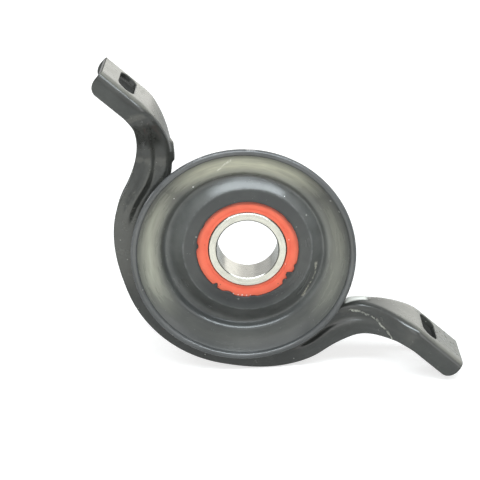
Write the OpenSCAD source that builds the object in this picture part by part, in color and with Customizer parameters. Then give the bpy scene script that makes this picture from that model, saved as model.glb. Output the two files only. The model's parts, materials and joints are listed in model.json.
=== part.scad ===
// Driveshaft centre bearing: a sealed ball bearing moulded into a rubber cushion, which is bonded
// into a steel ring and cradled by a pressed channel bracket with two slotted feet.
// The bearing's axis is Y, +Z is the side that bolts to the car, and the origin is the bore's centre.

/* [Ball bearing] */
// Diameter of the bore that takes the shaft
bore_d = 30; // [28:0.5:32]
// Length of the inner ring
inner_ring_len = 18; // [16:0.5:20]
// Outside diameter of the bearing's outer ring
bearing_od = 55; // [54:0.5:57]
// Width of the bearing's outer ring
bearing_w = 17; // [16:0.2:17.6]
// Radial distance from the circle of ball centres to the rings' shoulders
shoulder_gap = 2.15; // [1.9:0.05:2.4]
// Diameter of a ball
ball_d = 7.144; // [6.8:0.02:7.3]
// Gap between a ball and its tracks or its cage pocket
ball_clearance = 0.13; // [0.1:0.01:0.18]
// Chamfer on the rings' edges
ring_chamfer = 0.5; // [0.3:0.1:0.7]

/* [Cage and seals] */
// Radial width of the cage ribbon
cage_w = 2.6; // [2.2:0.1:3]
// Thickness of the cage ribbon
cage_t = 0.75; // [0.6:0.05:0.9]
// Diameter of a cage rivet's shank
rivet_d = 1.1; // [0.9:0.1:1.3]
// Diameter of a cage rivet's head
rivet_head_d = 2.1; // [1.8:0.1:2.3]
// Thickness of the outer ring outside its seal seats
seal_wall = 2.4; // [2:0.1:2.8]
// Depth of the seal's outer face below the outer ring's end
seal_recess = 0.2; // [0.1:0.1:0.5]
// Thickness of a seal's rubber facing
seal_t = 0.8; // [0.6:0.1:1]
// Thickness of a seal's steel core
seal_core_t = 0.4; // [0.3:0.1:0.5]
// Gap between a seal's lip and the inner ring
seal_clearance = 0.15; // [0.1:0.05:0.25]

/* [Rubber cushion] */
// Thickness of the hub's wall round the bearing, at its faces
hub_wall = 3.9; // [3.4:0.1:4.2]
// Distance from the bearing's centre forward to the hub's front face
hub_ahead = 9.4; // [9.3:0.1:10]
// Distance from the bearing's centre back to the hub's rear face
hub_behind = 9.4; // [9.3:0.1:10.4]
// Radial width of the hub's lips over the bearing's faces
lip_w = 2.7; // [2.2:0.1:3]
// Radius where the hub's faces turn into its slopes
hub_edge_r = 1.2; // [0.8:0.1:1.6]
// Width of the slopes round the hub's faces
hub_slope_w = 3.6; // [3:0.1:4]
// Depth of the groove round the hub, from the hub's front face
groove_depth = 5.4; // [5:0.1:6]
// Diameter of the groove's floor, about the ring's centre
groove_d = 73.2; // [72:0.2:74]
// Angle of the groove's outer wall to the bearing axis, in degrees
groove_wall_angle = 45; // [40:1:48]
// Radius of the hollow that makes the dished front face
dish_r = 9; // [8.5:0.5:10]
// Depth of the dish below the cushion's rim
dish_depth = 5; // [4.6:0.1:5.4]

/* [Steel ring] */
// Outside diameter of the ring's cup, which the bracket cradles
cup_d = 98; // [96:0.5:101]
// Sheet thickness of the steel ring
ring_t = 1.5; // [1.2:0.1:1.8]
// Diameter of the rolled bead on the ring's front edge
bead_d = 3.2; // [2.8:0.1:3.6]
// Reach of the bead beyond the cup
bead_reach = 5.6; // [5:0.1:5.8]
// Distance from the bearing's centre forward to the bead's centre
bead_ahead = 12.3; // [11.8:0.1:12.8]
// Distance from the bearing's centre forward to where the cup starts to flare
flare_ahead = 4.3; // [4:0.1:4.8]
// Distance from the bearing's centre back to the ring's rear edge
ring_behind = 2; // [1.8:0.1:2.6]
// Outside radius of the ring's rear curl
curl_r = 4; // [3.5:0.1:4.5]
// Width of the flat lip behind the curl
rear_lip_w = 1.5; // [1:0.1:2]
// Height of the bearing's centre above the ring's centre
hub_lift = 3; // [2:0.2:3.6]

/* [Bracket] */
// Sheet thickness of the bracket
sheet_t = 2.5; // [2.2:0.1:2.8]
// Outside radius of the bracket's bends
bend_r = 4; // [3.4:0.1:4.4]
// Height of the feet's bolting face above the bearing axis
foot_h = 28.8; // [27:0.2:31]
// Distance from the axis to the left foot's end
left_reach = 111; // [108:0.5:116]
// Distance from the axis to the right foot's end
right_reach = 113.5; // [110:0.5:118]
// Distance from the left foot's end to its slot's centre
left_slot_inset = 14; // [11:0.5:16]
// Distance from the right foot's end to its slot's centre
right_slot_inset = 21; // [15:0.5:21.5]
// Width of a slot
slot_w = 9; // [8:0.5:10.5]
// Length of a slot, along the bearing axis
slot_len = 22; // [18:0.5:23]
// Depth of a foot from its front to its back
foot_depth = 31.5; // [30:0.5:34]
// Distance from the bearing's centre back to the bracket's rear face
bracket_behind = 1; // [0.5:0.1:2]
// Height of the flanges at the feet
foot_flange_h = 10.3; // [9.4:0.1:11.2]
// Height of the flanges under the ring
cradle_flange_h = 11.4; // [10.6:0.2:12.4]
// Extra height of the flanges where the arms begin
neck_flange_rise = 5; // [4:0.2:6]
// Radius of the flange's corner at a foot's end
flange_corner_r = 5.5; // [4:0.5:6]
// Height of the rib pressed into the front flange at each neck
rib_h = 1.8; // [1:0.1:2.4]
// Radial gap between the bracket and the steel ring
cradle_gap = 0.02; // [0:0.01:0.1]
// Gap between the bracket's front bend and the ring's flare
flare_gap = 0.15; // [0.12:0.01:0.3]

/* [Bracket curves] */
// Angle below the ring's centre at which the web leaves the ring, in degrees
leave_angle = 3.8; // [2:0.2:6]
// Radius of the neck where the web turns away from the ring
neck_r = 26.6; // [24:0.2:29]
// Slope of the arm at the neck, in degrees
neck_slope = 54; // [50:1:58]
// Radius of the long sweep of the arm
sweep_r = 56; // [50:1:60]
// Slope of the arm where it turns into the foot, in degrees
foot_slope = 19; // [16:1:22]
// Angle below the ring's centre at which the flange edge leaves the ring, in degrees
edge_leave = 12; // [10:1:15]
// Radius of the flange edge along the arm
edge_sweep_r = 62; // [58:1:66]
// Slope of the flange edge where it turns under the foot, in degrees
edge_slope = 45; // [42:1:48]
// Distance from the axis to where the front starts to reach forward
reach_start = 54; // [50:1:58]
// Distance from the axis to where the front is fully forward
reach_end = 86; // [82:1:88]
// Length of the stiffening pip pressed into each arm
pip_len = 12.5; // [9:0.5:14]
// Width of the stiffening pip
pip_w = 5.6; // [4.6:0.2:6.4]
// Height of the stiffening pip
pip_h = 1.2; // [0.8:0.1:1.6]
// Distance along the arm from the neck to the pip's middle
pip_out = 8.5; // [7:0.5:12]

/* [Hidden] */
$fn = 96;
ball_count = 11;
eps = 0.01;

// Bearing
pitch_r = (bore_d + bearing_od)/4;
ball_r = ball_d/2;
track_r = ball_r + ball_clearance;
inner_shoulder_r = pitch_r - shoulder_gap;
outer_shoulder_r = pitch_r + shoulder_gap;
seal_seat_r = bearing_od/2 - seal_wall;

// Ring, hub and cushion
cup_r = cup_d/2;
cup_in_r = cup_r - ring_t;
bead_y = -bead_ahead;
bead_pitch_r = cup_r + bead_reach - bead_d/2;
rim_in_r = bead_pitch_r - ring_t;
rim_y = bead_y + bead_d/2 - 0.5;
flare_y = -flare_ahead;
flare_r = bend_r + flare_gap;
flare_pitch_r = cup_r + flare_r;
seat_y = ring_behind - ring_t;
curl_in_r = curl_r - ring_t;
curl_pitch_r = cup_r - curl_r;
rear_lip_r = curl_pitch_r - rear_lip_w;
hub_r = bearing_od/2 + hub_wall;
lip_r = bearing_od/2 - lip_w;
cut = 40;

// Groove round the hub, whose outer wall slants up to the dish
groove_r = groove_d/2;
groove_y = -hub_ahead + groove_depth;
groove_top_r = groove_r + (groove_y - rim_y)*tan(groove_wall_angle);

// Dish: a hollow torus whose surface meets the ring's inside at the rim
dish_y = rim_y + dish_depth - dish_r;
dish_pitch_r = rim_in_r - sqrt(dish_r*dish_r - (rim_y - dish_y)*(rim_y - dish_y));

// Bracket stations
ring_step = 6;
cradle_turn = 90 - leave_angle;
cradle_steps = ceil(cradle_turn/ring_step);
cradle_r = (cup_r + cradle_gap)/cos(cradle_turn/cradle_steps/2);
cradle_front = flare_y - bend_r;
foot_front = bracket_behind - foot_depth;
foot_mid_y = (foot_front + bracket_behind)/2;
neck_step = 7;
sweep_step = 4;
turn_step = 5;
corner_stations = 4;
bend_steps = 4;

function ball_name(i) = str("ball_", i < 10 ? "0" : "", i);
function ball_angle(i) = 90 + (i - 1)*360/ball_count;
function lerp(a, b, t) = a + (b - a)*t;
function smooth(t) = let (u = min(1, max(0, t))) u*u*(3 - 2*u);
function last(list) = list[len(list) - 1];
function unit(v) = v/norm(v);

// Points of an arc that starts at p with heading h0 and turns right to heading h1, without its first point
function right_arc(p, r, h0, h1, step) =
    let (n = max(2, ceil((h0 - h1)/step)))
    [for (i = [1:n]) let (h = lerp(h0, h1, i/n)) p + r*[sin(h0) - sin(h), cos(h) - cos(h0)]];

// Cumulative length along a list of points
function run_lengths(list, i = 0, sum = 0) =
    i == len(list) ? [] :
    let (s = sum + (i == 0 ? 0 : norm(list[i] - list[i - 1])))
    concat([s], run_lengths(list, i + 1, s));

// Point at a length along a list of points
function point_at(list, lengths, s, i = 1) =
    i >= len(list) - 1 || s <= lengths[i]
    ? lerp(list[i - 1], list[i], (s - lengths[i - 1])/(lengths[i] - lengths[i - 1]))
    : point_at(list, lengths, s, i + 1);

// Turns a profile of [radius, along the axis] about the Y axis
module turned() rotate([-90, 0, 0]) rotate_extrude() children();
// The same about the steel ring's own axis
module ring_turned() translate([0, 0, -hub_lift]) turned() children();
// A bar along Y from y0 to y1
module y_bar(r, y0, y1) translate([0, y0, 0]) rotate([-90, 0, 0]) cylinder(r = r, h = y1 - y0);
// Both ends of something that is symmetrical about the bearing's middle plane
module rear_side() mirror([0, 1, 0]) children();
module at_balls() for (i = [1:ball_count]) at_angle(ball_angle(i)) children();
module at_angle(a) translate([pitch_r*cos(a), 0, pitch_r*sin(a)]) children();

// A ring's section with chamfered corners
module ring_section(r_in, r_out, half_w) {
    c = ring_chamfer;
    polygon([[r_in + c, -half_w], [r_out - c, -half_w], [r_out, -half_w + c], [r_out, half_w - c],
             [r_out - c, half_w], [r_in + c, half_w], [r_in, half_w - c], [r_in, -half_w + c]]);
}

module ball_track() turned() translate([pitch_r, 0]) circle(r = track_r);

module bearing_inner_ring() color("gainsboro") difference() {
    turned() ring_section(bore_d/2, inner_shoulder_r, inner_ring_len/2);
    ball_track();
}

module bearing_outer_ring() color("silver") difference() {
    turned() ring_section(outer_shoulder_r, bearing_od/2, bearing_w/2);
    ball_track();
    seal_seat();
    rear_side() seal_seat();
}

module seal_seat() {
    depth = seal_recess + seal_t + seal_core_t + ring_chamfer;
    y_bar(seal_seat_r, -bearing_w/2 - eps, -bearing_w/2 + depth);
}

module ball(i) color("whitesmoke") at_angle(ball_angle(i)) sphere(r = ball_r);

// Half of the pressed ribbon cage: flats between the balls and a round pocket over each ball
module cage_half() {
    gap = 0.03;
    pocket_r = ball_r + ball_clearance;
    difference() {
        intersection() {
            turned() translate([pitch_r - cage_w/2, -cut]) square([cage_w, cut - gap]);
            union() {
                turned() translate([pitch_r - cage_w/2, -gap - cage_t]) square([cage_w, cage_t]);
                at_balls() sphere(r = pocket_r + cage_t);
            }
        }
        at_balls() sphere(r = pocket_r);
        at_rivets() y_bar(rivet_d/2 + 0.03, -cage_t*2, eps);
    }
}

module at_rivets() for (i = [1:ball_count]) at_angle(ball_angle(i + 0.5)) children();
module cage_front() color("goldenrod") cage_half();
module cage_rear() color("goldenrod") rear_side() cage_half();

module cage_rivets() color("darkgoldenrod") at_rivets() {
    head_y = 0.03 + cage_t;
    head_t = 0.5;
    y_bar(rivet_d/2, -head_y - eps, head_y + eps);
    y_bar(rivet_head_d/2, head_y, head_y + head_t);
    y_bar(rivet_head_d/2, -head_y - head_t, -head_y);
}

// Seal: a rubber facing with a lip towards the inner ring, bonded to a steel core
seal_face_y = -bearing_w/2 + seal_recess;
seal_r = seal_seat_r - 0.05;
seal_lip_r = inner_shoulder_r + seal_clearance;

module seal() turned() {
    groove_w = 0.7;
    groove_d = 0.25;
    difference() {
        translate([seal_lip_r, seal_face_y]) square([seal_r - seal_lip_r, seal_t]);
        translate([seal_lip_r + 1.1, seal_face_y - eps]) square([groove_w, groove_d]);
    }
}

module seal_core() turned() translate([seal_lip_r + 0.9, seal_face_y + seal_t])
    square([seal_r - seal_lip_r - 0.9, seal_core_t]);

module front_seal() color("tomato") seal();
module rear_seal() color("tomato") rear_side() seal();
module front_seal_core() color("slategray") seal_core();
module rear_seal_core() color("slategray") rear_side() seal_core();

// Steel ring: a cup with a curled shoulder behind, a flare in front and a rolled bead on its rim
module outer_ring() color("dimgray") ring_turned() {
    curl_y = ring_behind - curl_r;
    rim_start = flare_y - flare_r - ring_t/2;
    translate([bead_pitch_r, bead_y]) circle(d = bead_d);
    translate([rim_in_r, bead_y]) square([ring_t, rim_start - bead_y]);
    translate([flare_pitch_r, flare_y]) intersection() {
        difference() {
            circle(r = flare_r + ring_t);
            circle(r = flare_r);
        }
        translate([-cut, -cut]) square([cut - flare_pitch_r + bead_pitch_r, cut]);
    }
    translate([cup_in_r, flare_y]) square([ring_t, curl_y - flare_y]);
    translate([curl_pitch_r, curl_y]) intersection() {
        difference() {
            circle(r = curl_r);
            circle(r = curl_in_r);
        }
        square(curl_r);
    }
    translate([rear_lip_r, seat_y]) square([rear_lip_w, ring_t]);
}

// Hub of the cushion: a sleeve with a slope round each face
module hub_section() {
    e = hub_edge_r;
    w = hub_slope_w;
    inset = e*tan(22.5);
    turn = inset*sin(45);
    polygon([[lip_r, -hub_ahead], [hub_r - inset, -hub_ahead], [hub_r + turn, -hub_ahead + turn],
             [hub_r + w, -hub_ahead + w], [hub_r + w, hub_behind - w], [hub_r + turn, hub_behind - turn],
             [hub_r - inset, hub_behind], [lip_r, hub_behind]]);
    translate([hub_r - inset, -hub_ahead + e]) circle(r = e);
    translate([hub_r - inset, hub_behind - e]) circle(r = e);
}

// The cushion before its hollows: a plug that fits the steel ring and is flush behind
module cushion_blank() {
    corner = [curl_pitch_r, seat_y - curl_in_r];
    difference() {
        translate([0, rim_y]) square([rim_in_r, flare_y - rim_y]);
        translate([flare_pitch_r, flare_y]) circle(r = flare_r + ring_t);
    }
    translate([0, flare_y]) square([cup_in_r, corner[1] - flare_y]);
    translate([0, flare_y]) square([corner[0], seat_y - flare_y]);
    translate(corner) circle(r = curl_in_r);
    translate([0, flare_y]) square([rear_lip_r, ring_behind - flare_y]);
}

// The groove's hollow, wider at the front
module groove_section()
    polygon([[0, groove_y], [groove_r, groove_y], [groove_top_r, rim_y], [groove_top_r, -cut], [0, -cut]]);

module rubber_cushion() color("darkslategray") difference() {
    union() {
        ring_turned() difference() {
            cushion_blank();
            translate([dish_pitch_r, dish_y]) circle(r = dish_r);
            groove_section();
        }
        turned() hub_section();
    }
    y_bar(bearing_od/2, -bearing_w/2, bearing_w/2);
    y_bar(lip_r, -cut, cut);
}

// Upper face of the bracket's web, from the cradle's lowest point to the right foot
function web_line(reach) =
    let (
        n = cradle_steps,
        ring = [for (i = [0:n]) let (a = lerp(-90, -leave_angle, i/n))
                [cradle_r*cos(a), -hub_lift + cradle_r*sin(a)]],
        neck = right_arc(last(ring), neck_r, cradle_turn, neck_slope, neck_step),
        sweep = right_arc(last(neck), sweep_r, neck_slope, foot_slope, sweep_step),
        turn_r = (foot_h - last(sweep)[1])/(1 - cos(foot_slope)),
        turn = right_arc(last(sweep), turn_r, foot_slope, 0, turn_step),
        end = [reach, foot_h],
        corner = [for (i = [0:corner_stations]) end - [flange_corner_r*(1 - sin(i*90/corner_stations)), 0]]
    )
    concat(ring, neck, sweep, turn, corner);

// Free edge of the flanges, over the same stretch
function edge_line(reach) =
    let (
        n = 16,
        ring = [for (i = [0:n]) let (a = lerp(-90, -edge_leave, i/n),
                r = cradle_r + cradle_flange_h + neck_flange_rise*smooth((a + 60)/(60 - edge_leave)))
                [r*cos(a), -hub_lift + r*sin(a)]],
        sweep = right_arc(last(ring), edge_sweep_r, 90 - edge_leave, edge_slope, 3),
        foot_z = foot_h - foot_flange_h,
        turn_r = (foot_z - last(sweep)[1])/(1 - cos(edge_slope)),
        turn = right_arc(last(sweep), turn_r, edge_slope, 0, 6)
    )
    concat(ring, sweep, turn, [[reach, foot_z]]);

// Stations along one arm: [web point, edge point, share of the way forward, share of the rib]
function arm_stations(reach) =
    let (
        web = web_line(reach), ws = run_lengths(web),
        edge = edge_line(reach), es = run_lengths(edge),
        web_leave = cradle_r*(90 - edge_leave)*PI/180,
        edge_leave_s = es[16],
        foot_i = len(web) - 2 - corner_stations,
        web_foot = ws[foot_i],
        edge_foot = es[len(es) - 2]
    )
    [for (i = [0:len(web) - 1])
        let (
            s = ws[i],
            t = s < web_leave ? edge_leave_s*s/web_leave
              : s < web_foot ? lerp(edge_leave_s, edge_foot, (s - web_leave)/(web_foot - web_leave))
              : edge_foot + (last(es) - edge_foot)*(s - web_foot)/(last(ws) - web_foot),
            end_i = i - (len(web) - 1 - corner_stations),
            full = point_at(edge, es, t),
            trim = end_i <= 0 ? 0 : flange_corner_r*(1 - cos(end_i*90/corner_stations)),
            forward = smooth((web[i][0] - reach_start)/(reach_end - reach_start)),
            rib = smooth((s - web_leave*0.75)/(web_leave*0.25))*(1 - smooth((web[i][0] - 62)/18))
        )
        [web[i], full + [0, trim], forward, rib]];

// Rows up the front flange, as shares of its height, and how far the rib stands out at each
rib_rows = [0.28, 0.5, 0.62, 0.84, 1];
function rib_form(f) = smooth((f - 0.28)/0.22) - 0.5*smooth((f - 0.62)/0.22);

// One section of the channel at a station, as points in space
function section_at(st) =
    let (
        p = st[0],
        d = unit(st[1] - p),
        h = norm(st[1] - p),
        front = lerp(cradle_front, foot_front, st[2]),
        back = bracket_behind,
        in_r = bend_r - sheet_t,
        face = [for (f = rib_rows) [front - rib_h*st[3]*rib_form(f), lerp(bend_r, h, f)]],
        front_outer = [for (i = [len(face) - 1:-1:0]) face[i]],
        front_inner = [for (q = face) q + [sheet_t, 0]],
        outer = concat(
            front_outer,
            [for (i = [0:bend_steps]) let (a = i*90/bend_steps)
                [front + bend_r*(1 - cos(a)), bend_r*(1 - sin(a))]],
            [for (i = [0:bend_steps]) let (a = i*90/bend_steps)
                [back - bend_r*(1 - sin(a)), bend_r*(1 - cos(a))]],
            [[back, h]]),
        inner = concat(
            [[back - sheet_t, h]],
            [for (i = [bend_steps:-1:0]) let (a = i*90/bend_steps)
                [back - bend_r + in_r*sin(a), bend_r - in_r*cos(a)]],
            [for (i = [bend_steps:-1:0]) let (a = i*90/bend_steps)
                [front + bend_r - in_r*cos(a), bend_r - in_r*sin(a)]],
            front_inner)
    )
    [for (q = concat(outer, inner)) [p[0] + q[1]*d[0], q[0], p[1] + q[1]*d[1]]];

// The bent channel, swept from the left foot's end round the cradle to the right foot's end
module channel() {
    right = arm_stations(right_reach);
    left = arm_stations(left_reach);
    flip = [for (i = [len(left) - 1:-1:1])
        let (s = left[i]) [[-s[0][0], s[0][1]], [-s[1][0], s[1][1]], s[2], s[3]]];
    rings = [for (s = concat(flip, right)) section_at(s)];
    n = len(rings[0]);
    m = len(rings);
    points = [for (r = rings) each r];
    walls = [for (k = [0:m - 2], j = [0:n - 1])
        let (a = k*n + j, b = k*n + (j + 1) % n, c = a + n, e = b + n)
        each [[a, b, e], [a, e, c]]];
    last_ring = (m - 1)*n;
    first_end = [for (j = [0:n/2 - 2]) let (a = j, b = j + 1, c = n - 2 - j, e = n - 1 - j)
        each [[a, c, b], [a, e, c]]];
    last_end = [for (f = first_end) [f[0] + last_ring, f[2] + last_ring, f[1] + last_ring]];
    polyhedron(points = points, faces = concat(walls, first_end, last_end), convexity = 6);
}

// A slot through a foot, round-ended and long along Y
module slot(x) {
    half = (slot_len - slot_w)/2;
    z0 = foot_h - 2*sheet_t;
    h = 3*sheet_t;
    for (end = [-1, 1]) translate([x, foot_mid_y + end*half, z0]) cylinder(d = slot_w, h = h);
    translate([x - slot_w/2, foot_mid_y - half, z0]) cube([slot_w, 2*half, h]);
}

// A raised stiffening pip on the arm's upper face, with round ends along the arm
module pip() {
    web = web_line(right_reach);
    neck_end = web[cradle_steps + max(2, ceil((cradle_turn - neck_slope)/neck_step))];
    slope = neck_slope - pip_out/sweep_r*180/PI;
    p = neck_end + sweep_r*[sin(neck_slope) - sin(slope), cos(slope) - cos(neck_slope)];
    r = (pip_w*pip_w/4 + pip_h*pip_h)/(2*pip_h);
    half = (pip_len - pip_w)/2;
    y = bracket_behind - bend_r - pip_w/4;
    translate([p[0], y, p[1]]) rotate([0, -slope, 0]) intersection() {
        translate([0, 0, pip_h - r]) {
            rotate([0, 90, 0]) translate([0, 0, -half]) cylinder(r = r, h = 2*half);
            for (end = [-1, 1]) translate([end*half, 0, 0]) sphere(r = r);
        }
        translate([-pip_len, -pip_len, -sheet_t/2]) cube([2*pip_len, 2*pip_len, sheet_t/2 + 2*pip_h]);
    }
}

module bracket() color("darkslategray") union() {
    difference() {
        channel();
        slot(left_slot_inset - left_reach);
        slot(right_reach - right_slot_inset);
    }
    pip();
    mirror([1, 0, 0]) pip();
}

bracket();
outer_ring();
rubber_cushion();
bearing_outer_ring();
bearing_inner_ring();
for (i = [1:ball_count]) ball(i);
cage_front();
cage_rear();
cage_rivets();
front_seal();
front_seal_core();
rear_seal();
rear_seal_core();
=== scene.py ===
"""Looks of a driveshaft centre bearing: finer bracket and cushion, materials, floor, light and camera."""
import json
import math

import bpy
from mathutils import Matrix, Vector, noise


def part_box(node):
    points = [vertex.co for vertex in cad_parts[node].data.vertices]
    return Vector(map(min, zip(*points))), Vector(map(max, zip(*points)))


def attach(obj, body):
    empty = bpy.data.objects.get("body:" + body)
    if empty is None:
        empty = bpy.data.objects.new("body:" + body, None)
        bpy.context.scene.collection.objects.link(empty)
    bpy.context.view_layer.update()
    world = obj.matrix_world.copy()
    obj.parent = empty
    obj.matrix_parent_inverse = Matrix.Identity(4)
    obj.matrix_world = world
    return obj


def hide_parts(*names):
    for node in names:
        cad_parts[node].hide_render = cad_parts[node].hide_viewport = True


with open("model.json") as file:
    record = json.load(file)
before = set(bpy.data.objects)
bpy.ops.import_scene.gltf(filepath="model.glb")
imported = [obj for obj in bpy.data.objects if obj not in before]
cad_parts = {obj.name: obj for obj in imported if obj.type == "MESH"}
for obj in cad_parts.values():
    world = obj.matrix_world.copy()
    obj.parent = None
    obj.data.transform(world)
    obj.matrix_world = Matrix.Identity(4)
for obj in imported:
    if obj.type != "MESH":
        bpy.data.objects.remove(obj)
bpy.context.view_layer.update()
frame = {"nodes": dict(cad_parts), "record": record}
nodes = frame["nodes"]
scene = bpy.context.scene
MM = 0.001

# The steel ring, read from the frame
ring_low, ring_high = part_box("outer_ring")
ring_centre_z = (ring_low.z + ring_high.z)/2
bead_out_r = (ring_high.x - ring_low.x)/2

# The photograph's own directions, as the bearing lies rolled over on one foot
PHOTO_ROLL = math.radians(40.59)
PHOTO_RIGHT = Vector((math.cos(PHOTO_ROLL), 0, math.sin(PHOTO_ROLL)))
PHOTO_UP = Vector((-math.sin(PHOTO_ROLL), 0, math.cos(PHOTO_ROLL)))
PHOTO_AWAY = Vector((0, 1, 0))


def photo_point(right, away, up):
    """A place given along the photograph's own directions, in metres."""
    return PHOTO_RIGHT*right + PHOTO_AWAY*away + PHOTO_UP*up


# Camera
IMAGE_PX = 480
FOCAL_PX = 1418.2
CENTRE_PX = (247.51, 249.98)
CAMERA_AZIMUTH = math.radians(-0.17)
CAMERA_ELEVATION = math.radians(22.0)
CAMERA_DISTANCE = 0.688
CAMERA_TARGET = Vector((0, -0.009, 0))
SENSOR_MM = 36

camera_data = bpy.data.cameras.new("camera")
camera_data.sensor_width = SENSOR_MM
camera_data.lens = FOCAL_PX/IMAGE_PX*SENSOR_MM
camera_data.shift_x = (IMAGE_PX/2 - CENTRE_PX[0])/IMAGE_PX
camera_data.shift_y = (CENTRE_PX[1] - IMAGE_PX/2)/IMAGE_PX
camera_data.clip_start = 0.01
camera = bpy.data.objects.new("camera", camera_data)
scene.collection.objects.link(camera)
camera_back = photo_point(
    math.sin(CAMERA_AZIMUTH)*math.cos(CAMERA_ELEVATION),
    -math.cos(CAMERA_AZIMUTH)*math.cos(CAMERA_ELEVATION),
    math.sin(CAMERA_ELEVATION))
camera_right = PHOTO_UP.cross(camera_back).normalized()
camera_up = camera_back.cross(camera_right)
camera.matrix_world = Matrix.Translation(CAMERA_TARGET + camera_back*CAMERA_DISTANCE) @ Matrix(
    (camera_right, camera_up, camera_back)).transposed().to_4x4()
scene.camera = camera


# Sizes that the fine pieces share with the solids, in millimetres
HUB_LIFT = 3.0
BEARING_R = 27.5
BEARING_HALF = 8.5
LIP_R = 24.8
HUB_R = 31.4
HUB_AHEAD = 9.4
HUB_BEHIND = 9.4
HUB_EDGE_R = 1.2
HUB_SLOPE_W = 3.6
CUP_R = 49.0
RING_T = 1.5
RIM_IN_R = 51.5
RIM_Y = -11.2
FLARE_Y = -4.3
RING_BEHIND = 2.0
CURL_R = 4.0
REAR_LIP_R = 43.5
SHEET_T = 2.5
BEND_R = 4.0
FLARE_GAP = 0.15
CRADLE_GAP = 0.02
FOOT_H = 28.8
LEFT_REACH = 111.0
RIGHT_REACH = 113.5
LEFT_SLOT_X = -97.0
RIGHT_SLOT_X = 92.5
SLOT_W = 9.0
SLOT_LEN = 22.0
FOOT_FRONT = -30.5
BRACKET_BEHIND = 1.0
FOOT_FLANGE_H = 10.3
CRADLE_FLANGE_H = 11.4
NECK_FLANGE_RISE = 5.0
FLANGE_CORNER_R = 5.5
RIB_H = 1.8
LEAVE_ANGLE = 3.8
NECK_R = 26.6
NECK_SLOPE = 54.0
SWEEP_R = 56.0
FOOT_SLOPE = 19.0
EDGE_LEAVE = 12.0
EDGE_SWEEP_R = 62.0
EDGE_SLOPE = 45.0
REACH_START = 54.0
REACH_END = 86.0
PIP_LEN = 12.5
PIP_W = 5.6
PIP_H = 1.2
PIP_OUT = 8.5
RIB_END_X = 62.0
RIB_FADE = 18.0

# The cushion's front, in millimetres: rounder than the solid's, to fit the photograph's highlights
HUB_RISE = 0.87
GROOVE_Y = -3.3
GROOVE_R = 38.4
GROOVE_RISE = 1.5
GROOVE_WALL_ROUND = 1.5
GROOVE_ROUND = 2.0
CREST_ROUND = 1.7
DISH_R = 20.0
DISH_DEPTH = 4.5
LIP_ROUND = 0.35
REAR_LIP_ROUND = 0.5
REAR_EDGE = 0.3
BACK_FILLET = 1.2
CUSHION_GAP = 0.02


def lerp(a, b, t):
    return a + (b - a)*t


def smooth(t):
    u = min(1.0, max(0.0, t))
    return u*u*(3 - 2*u)


def soft_max(a, b, width):
    """The larger of two values, with the corner between them rounded over a width."""
    h = max(width - abs(a - b), 0)/width
    return max(a, b) + h*h*width/4


def new_piece(name, points, faces, body, slot, replaced):
    """A smooth-shaded mesh, given in millimetres, that rides on a body in place of a node."""
    mesh = bpy.data.meshes.new(name)
    mesh.from_pydata([[c*MM for c in p] for p in points], [], faces)
    mesh.validate()
    piece = bpy.data.objects.new(name, mesh)
    scene.collection.objects.link(piece)
    finish_shading(mesh)
    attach(piece, body)
    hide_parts(replaced)
    return piece


def finish_shading(mesh, angle=40):
    mesh.shade_smooth()
    mesh.set_sharp_from_angle(angle=math.radians(angle))


# Bracket: the same sweep as the solid, with fine steps, rounded edges and pressed pips
SHEET_EDGE_R = 0.55
END_CHAMFER = 0.4
SLOT_LIP = 0.35
SLOT_STEPS = 24
PLUG_PAST = 1.5
PLUG_MORE = 1.2
FLANGE_ROWS = 18
BEND_ROWS = 8
WEB_ROWS = 14
CORNER_ROWS = 9
END_ROUND = 4


def right_arc(start, r, h0, h1, step):
    """Points of an arc that turns right from heading h0 to h1 in degrees, without its first point."""
    count = max(2, math.ceil((h0 - h1)/step))
    points = []
    for i in range(1, count + 1):
        h = math.radians(lerp(h0, h1, i/count))
        h_in = math.radians(h0)
        points.append(start + r*Vector((math.sin(h_in) - math.sin(h), math.cos(h) - math.cos(h_in))))
    return points


def ring_points(r_of, first, last, count):
    """Points round the steel ring's centre, from one angle to another in degrees."""
    points = []
    for i in range(count + 1):
        degrees = lerp(first, last, i/count)
        a = math.radians(degrees)
        points.append(Vector((r_of(degrees)*math.cos(a), -HUB_LIFT + r_of(degrees)*math.sin(a))))
    return points


def run_lengths(points):
    total = [0.0]
    for a, b in zip(points, points[1:]):
        total.append(total[-1] + (b - a).length)
    return total


def point_at(points, lengths, s):
    for i in range(1, len(points)):
        if s <= lengths[i] or i == len(points) - 1:
            return points[i - 1].lerp(points[i], (s - lengths[i - 1])/(lengths[i] - lengths[i - 1]))


def eased(values, passes):
    """Evens out the steps of a rising list, with its ends kept."""
    for _ in range(passes):
        inner = [(a + 2*b + c)/4 for a, b, c in zip(values, values[1:], values[2:])]
        values = [values[0], *inner, values[-1]]
    return values


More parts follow.
